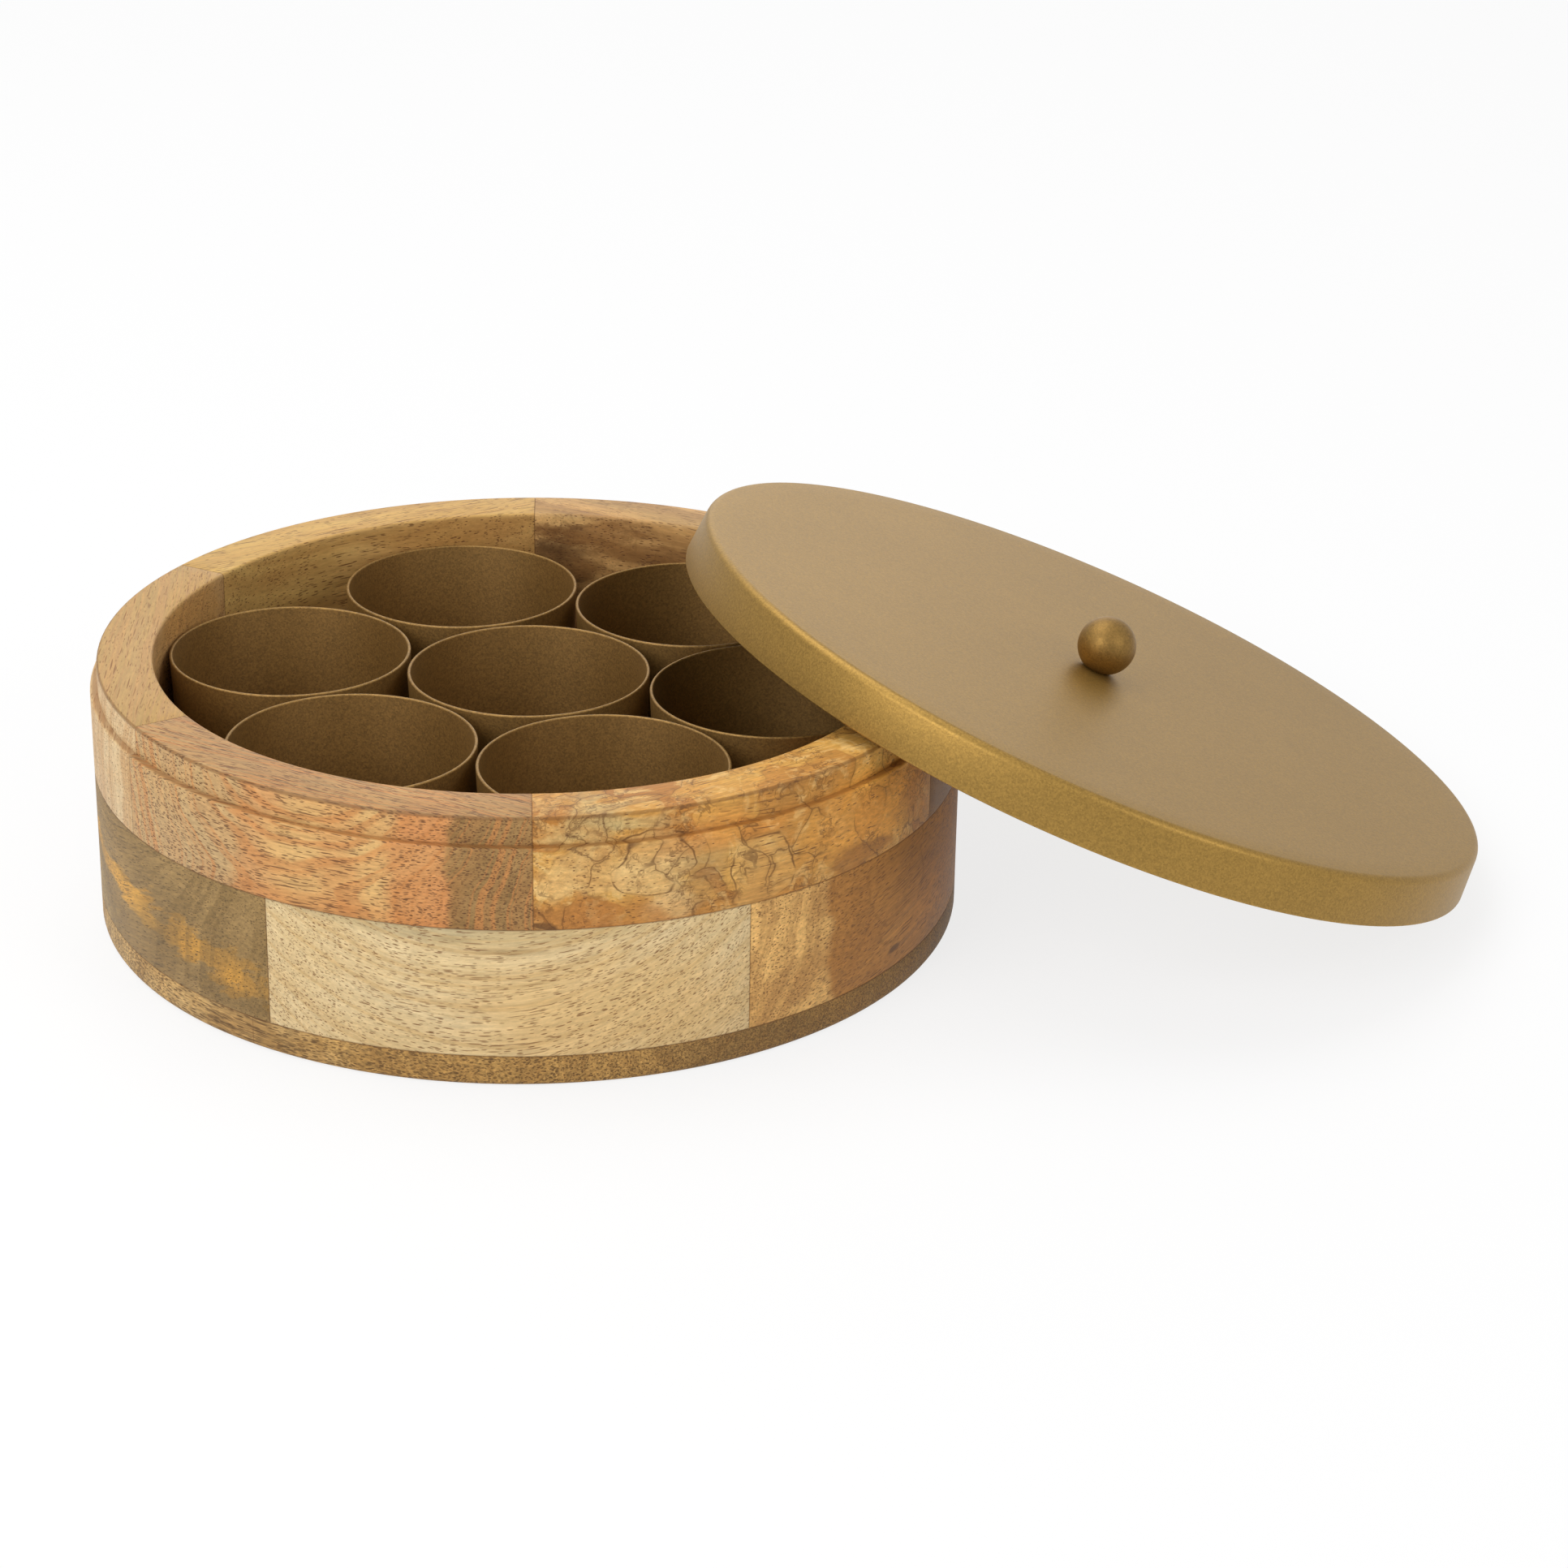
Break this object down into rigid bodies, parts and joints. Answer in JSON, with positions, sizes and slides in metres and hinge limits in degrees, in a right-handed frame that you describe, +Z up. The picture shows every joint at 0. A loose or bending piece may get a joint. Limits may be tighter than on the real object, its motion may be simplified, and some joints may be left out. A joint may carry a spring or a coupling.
{
  "type": "wooden spice box with lift-off lid",
  "caption": "Round segmented-wood spice box with a collar for its lid, loose straight-sided metal cups standing inside, and a flat metal lid with a ball knob leaning on the rim.",
  "frame": {"origin": "centre of the box's underside, on the surface it stands on", "axes": "+Z up; +X from the box's middle towards the side where the lid leans on the rim; the lid leans about an axis along Y"},
  "size_m": [0.3754, 0.2358, 0.0978],
  "materials": {
    "wood_base": "turned mango wood, oiled to a low sheen",
    "wood_pale": "turned mango wood, oiled to a low sheen",
    "wood_tan": "turned mango wood, oiled to a low sheen",
    "wood_rose": "turned mango wood, oiled to a low sheen",
    "wood_spalted": "turned mango wood, oiled to a low sheen",
    "wood_brown": "turned mango wood, oiled to a low sheen",
    "wood_olive": "turned mango wood, oiled to a low sheen",
    "cup_gold": "fine-grained gold powder coat, satin",
    "lid_gold": "fine-grained gold powder coat, satin",
    "knob_gold": "gold coat, semi-gloss",
    "screw_steel": "plain zinc plate"
  },
  "bodies": {
    "box": {"base_disc": "wood_base", "lower_ring_segment_1": "wood_brown", "lower_ring_segment_2": "wood_tan", "lower_ring_segment_3": "wood_rose", "lower_ring_segment_4": "wood_brown", "lower_ring_segment_5": "wood_olive", "lower_ring_segment_6": "wood_pale", "upper_ring_segment_1": "wood_spalted", "upper_ring_segment_2": "wood_tan", "upper_ring_segment_3": "wood_spalted", "upper_ring_segment_4": "wood_tan", "upper_ring_segment_5": "wood_tan", "upper_ring_segment_6": "wood_rose"},
    "cup_centre_body": {"cup_centre": "cup_gold"},
    "cup_1_body": {"cup_1": "cup_gold"},
    "cup_2_body": {"cup_2": "cup_gold"},
    "cup_3_body": {"cup_3": "cup_gold"},
    "cup_4_body": {"cup_4": "cup_gold"},
    "cup_5_body": {"cup_5": "cup_gold"},
    "cup_6_body": {"cup_6": "cup_gold"},
    "lid": {"lid_shell": "lid_gold", "lid_knob": "knob_gold", "lid_knob_screw": "screw_steel"}
  },
  "joints": [
    {"name": "lid_lift", "type": "slide", "parent": "box", "child": "lid", "axis": [0, 0, 1], "range_m": [0, 0.12]},
    {"name": "cup_centre_lift", "type": "slide", "parent": "box", "child": "cup_centre_body", "axis": [0, 0, 1], "range_m": [0, 0.075]},
    {"name": "cup_1_lift", "type": "slide", "parent": "box", "child": "cup_1_body", "axis": [0, 0, 1], "range_m": [0, 0.075]},
    {"name": "cup_2_lift", "type": "slide", "parent": "box", "child": "cup_2_body", "axis": [0, 0, 1], "range_m": [0, 0.075]},
    {"name": "cup_3_lift", "type": "slide", "parent": "box", "child": "cup_3_body", "axis": [0, 0, 1], "range_m": [0, 0.075]},
    {"name": "cup_4_lift", "type": "slide", "parent": "box", "child": "cup_4_body", "axis": [0, 0, 1], "range_m": [0, 0.014]},
    {"name": "cup_5_lift", "type": "slide", "parent": "box", "child": "cup_5_body", "axis": [0, 0, 1], "range_m": [0, 0.01]},
    {"name": "cup_6_lift", "type": "slide", "parent": "box", "child": "cup_6_body", "axis": [0, 0, 1], "range_m": [0, 0.075]}
  ]
}
